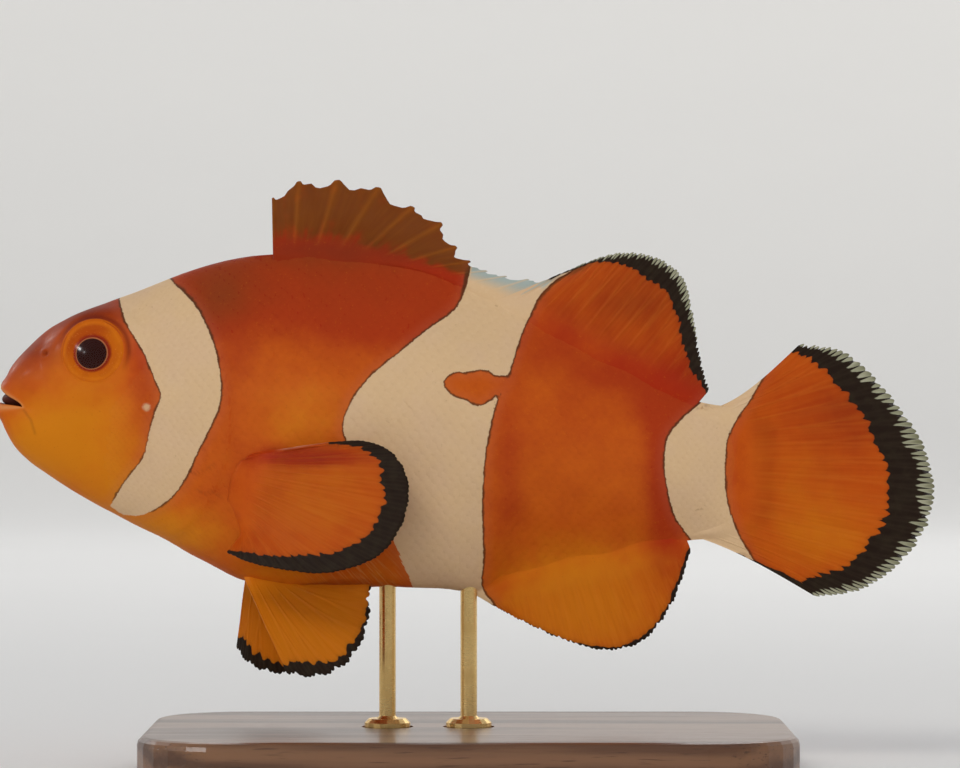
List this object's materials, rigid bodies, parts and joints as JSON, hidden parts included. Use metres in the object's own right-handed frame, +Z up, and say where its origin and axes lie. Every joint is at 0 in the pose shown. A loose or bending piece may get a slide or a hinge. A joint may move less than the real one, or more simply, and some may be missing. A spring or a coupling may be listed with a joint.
{
  "type": "clownfish model",
  "caption": "Still, life-size model of a clownfish with pale bars edged in black, held over a flat wooden base on brass rods.",
  "frame": {"origin": "middle of the base's underside, on the surface that the stand rests on, below the middle of the fish's length", "axes": "+X from the snout towards the tail fin, +Y towards the fish's right side, +Z up towards its back"},
  "size_m": [0.09, 0.04, 0.0571],
  "materials": {
    "skin": "satin scaled skin, orange with cream bars edged in black",
    "fin": "thin rayed membrane, orange with black and clear rims",
    "eye": "wet clear gloss over an orange iris and black pupil",
    "wood": "dark walnut, satin lacquer",
    "brass": "satin turned brass"
  },
  "bodies": {
    "root": {"head": "skin", "lower_jaw": "skin", "gill_cover_left": "skin", "gill_cover_right": "skin", "trunk": "skin", "tail_stem": "skin", "eye_left": "eye", "eye_right": "eye", "fin_dorsal_spiny": "fin", "fin_dorsal_soft": "fin", "fin_anal": "fin", "fin_tail": "fin", "fin_pectoral_left": "fin", "fin_pectoral_right": "fin", "fin_pelvic_left": "fin", "fin_pelvic_right": "fin", "stand_base": "wood", "stand_rod_front": "brass", "stand_rod_rear": "brass"}
  },
  "joints": []
}
